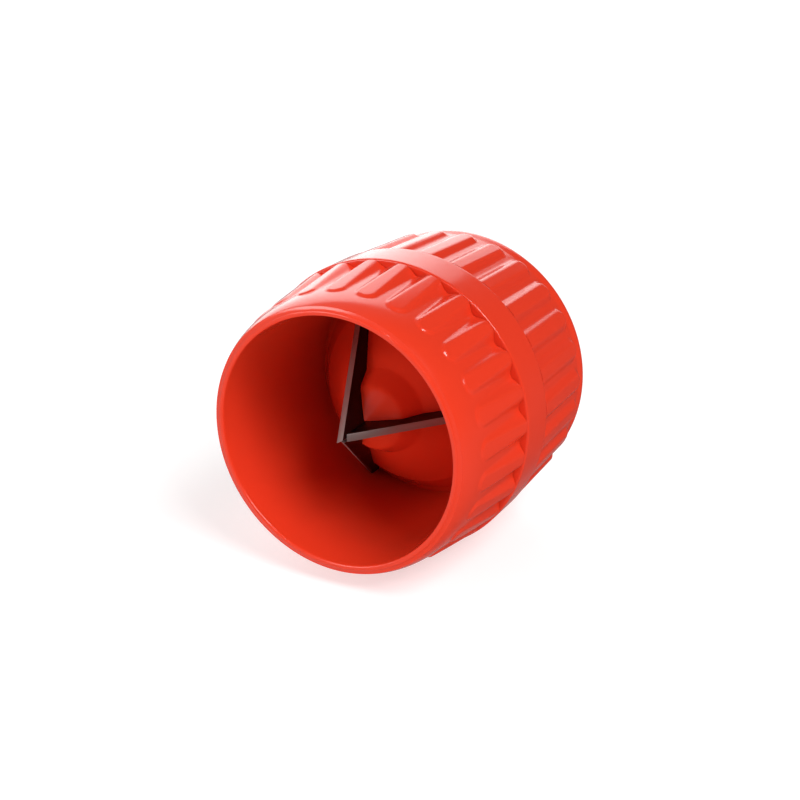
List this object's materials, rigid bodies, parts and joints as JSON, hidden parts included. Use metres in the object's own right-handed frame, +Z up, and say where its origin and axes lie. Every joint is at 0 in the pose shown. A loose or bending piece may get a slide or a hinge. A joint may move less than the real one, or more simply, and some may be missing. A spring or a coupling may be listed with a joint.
{
  "type": "tube deburring tool",
  "caption": "Hand tool that deburrs tube ends inside and outside: ribbed round plastic body with a smooth middle band and straight steel strips forming a cone in each mouth.",
  "frame": {"origin": "middle of the bounding box on the surface that the tool lies on", "axes": "the tool lies on its side: its axis is +Y, the inner-deburring mouth faces -Y, the outer-deburring mouth faces +Y, +Z is up"},
  "size_m": [0.058, 0.052, 0.058],
  "materials": {
    "body_plastic": "smooth orange-red moulded plastic",
    "band_plastic": "polished orange-red moulded plastic",
    "blade_steel": "dark hardened steel with ground edges"
  },
  "bodies": {
    "root": {"front_shell": "body_plastic", "rear_shell": "body_plastic", "center_band": "band_plastic", "blade_1": "blade_steel", "blade_2": "blade_steel", "blade_3": "blade_steel"}
  },
  "joints": []
}
